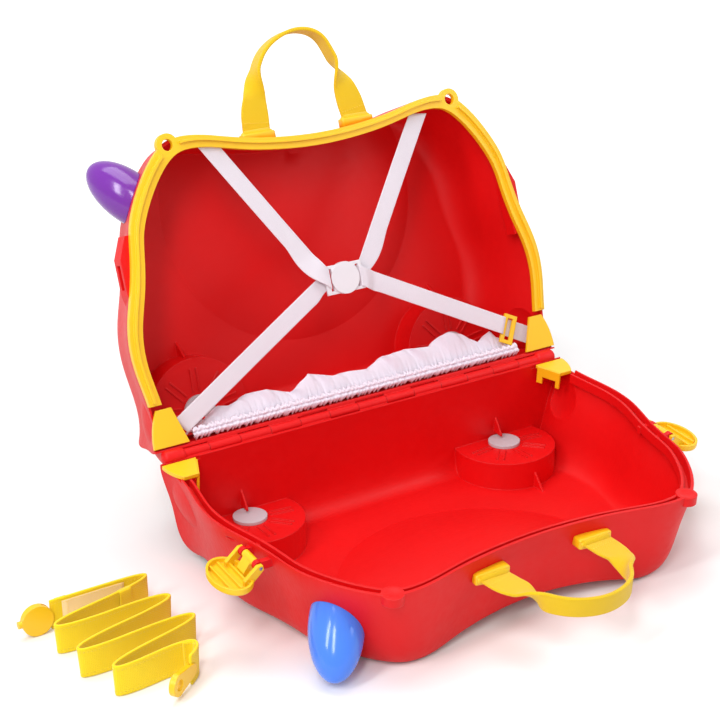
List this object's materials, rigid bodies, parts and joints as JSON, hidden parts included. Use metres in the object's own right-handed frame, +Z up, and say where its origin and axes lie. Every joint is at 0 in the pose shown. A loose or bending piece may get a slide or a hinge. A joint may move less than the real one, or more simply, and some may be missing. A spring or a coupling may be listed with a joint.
{
  "type": "ride-on suitcase",
  "caption": "Child's ride-on hard suitcase lying open on its side: two hinged plastic half shells with wheels, latches, horns, strap handles, crossed inner straps and a loose tow strap.",
  "frame": {"origin": "on the floor under the middle of the open case's footprint, tow strap left out", "axes": "+X along the hinge towards the rear end, +Y away from the saddle side towards the lid, +Z up"},
  "size_m": [0.603, 0.4909, 0.4194],
  "materials": {
    "red_shell": "moulded satin",
    "yellow_plastic": "moulded satin",
    "yellow_soft": "soft moulded",
    "yellow_webbing": "woven webbing",
    "white_cloth": "woven",
    "white_plastic": "moulded",
    "blue_horn": "polished",
    "purple_horn": "polished",
    "steel": "plain",
    "grey_disc": "plain",
    "tyre": "matte",
    "hub": "moulded satin"
  },
  "bodies": {
    "base": {"base_shell": "red_shell", "hinge_pin": "steel", "base_corner_front": "yellow_plastic", "base_corner_rear": "yellow_plastic", "latch_pin_front": "steel", "latch_pin_rear": "steel", "horn_base": "blue_horn", "axle_base_front": "steel", "axle_base_rear": "steel", "axle_disc_base_front": "grey_disc", "axle_disc_base_rear": "grey_disc"},
    "lid": {"lid_shell": "red_shell", "lid_trim": "yellow_plastic", "lid_corner_front": "yellow_plastic", "lid_corner_rear": "yellow_plastic", "horn_lid": "purple_horn", "axle_lid_front": "steel", "axle_lid_rear": "steel", "axle_disc_lid_front": "grey_disc", "axle_disc_lid_rear": "grey_disc", "strap_front": "white_cloth", "strap_rear": "white_cloth", "strap_buckle": "white_plastic", "strap_clip": "yellow_plastic", "pocket_cloth": "white_cloth", "pocket_hem": "white_cloth"},
    "latch_front": {"latch_front": "yellow_plastic"},
    "latch_rear": {"latch_rear": "yellow_plastic"},
    "handle_base": {"handle_base": "yellow_soft"},
    "handle_lid": {"handle_lid": "yellow_soft"},
    "tow_strap": {"tow_webbing": "yellow_webbing", "tow_clip": "yellow_plastic", "tow_hook": "yellow_plastic"},
    "wheel_base_front": {"wheel_hub_base_front": "hub", "tyre_base_front": "tyre"},
    "wheel_lid_front": {"wheel_hub_lid_front": "hub", "tyre_lid_front": "tyre"},
    "wheel_base_rear": {"wheel_hub_base_rear": "hub", "tyre_base_rear": "tyre"},
    "wheel_lid_rear": {"wheel_hub_lid_rear": "hub", "tyre_lid_rear": "tyre"}
  },
  "joints": [
    {"name": "lid_hinge", "type": "hinge", "parent": "base", "child": "lid", "pos_m": [0, 0.0926, 0.10026], "axis": [1, 0, 0], "range_deg": [0, 114.6]},
    {"name": "latch_front_pivot", "type": "hinge", "parent": "base", "child": "latch_front", "pos_m": [-0.2085, -0.06088, 0.07719], "axis": [0, 0.9952, 0.0975], "range_deg": [0, 100]},
    {"name": "latch_rear_pivot", "type": "hinge", "parent": "base", "child": "latch_rear", "pos_m": [0.2085, -0.06088, 0.07719], "axis": [0, -0.9952, -0.0975], "range_deg": [0, 100]},
    {"name": "handle_base_fold", "type": "hinge", "parent": "base", "child": "handle_base", "pos_m": [0, -0.15973, 0.05847], "axis": [1, 0, 0], "range_deg": [-4, 25], "stiffness_Nm_per_rad": 0.5},
    {"name": "handle_lid_fold", "type": "hinge", "parent": "lid", "child": "handle_lid", "pos_m": [0, 0.19178, 0.33602], "axis": [-1, 0, 0], "range_deg": [-4, 25], "stiffness_Nm_per_rad": 0.5},
    {"name": "tow_strap_away", "type": "slide", "parent": "base", "child": "tow_strap", "axis": [-1, 0, 0], "range_m": [0, 0.3]},
    {"name": "wheel_base_front_spin", "type": "hinge", "parent": "base", "child": "wheel_base_front", "pos_m": [-0.137, 0.07429, 0.0145], "axis": [0, 0, 1], "continuous": true},
    {"name": "wheel_lid_front_spin", "type": "hinge", "parent": "lid", "child": "wheel_lid_front", "pos_m": [-0.137, 0.18027, 0.09818], "axis": [0, -0.9727, 0.2319], "continuous": true},
    {"name": "wheel_base_rear_spin", "type": "hinge", "parent": "base", "child": "wheel_base_rear", "pos_m": [0.137, 0.07429, 0.0145], "axis": [0, 0, 1], "continuous": true},
    {"name": "wheel_lid_rear_spin", "type": "hinge", "parent": "lid", "child": "wheel_lid_rear", "pos_m": [0.137, 0.18027, 0.09818], "axis": [0, -0.9727, 0.2319], "continuous": true}
  ]
}
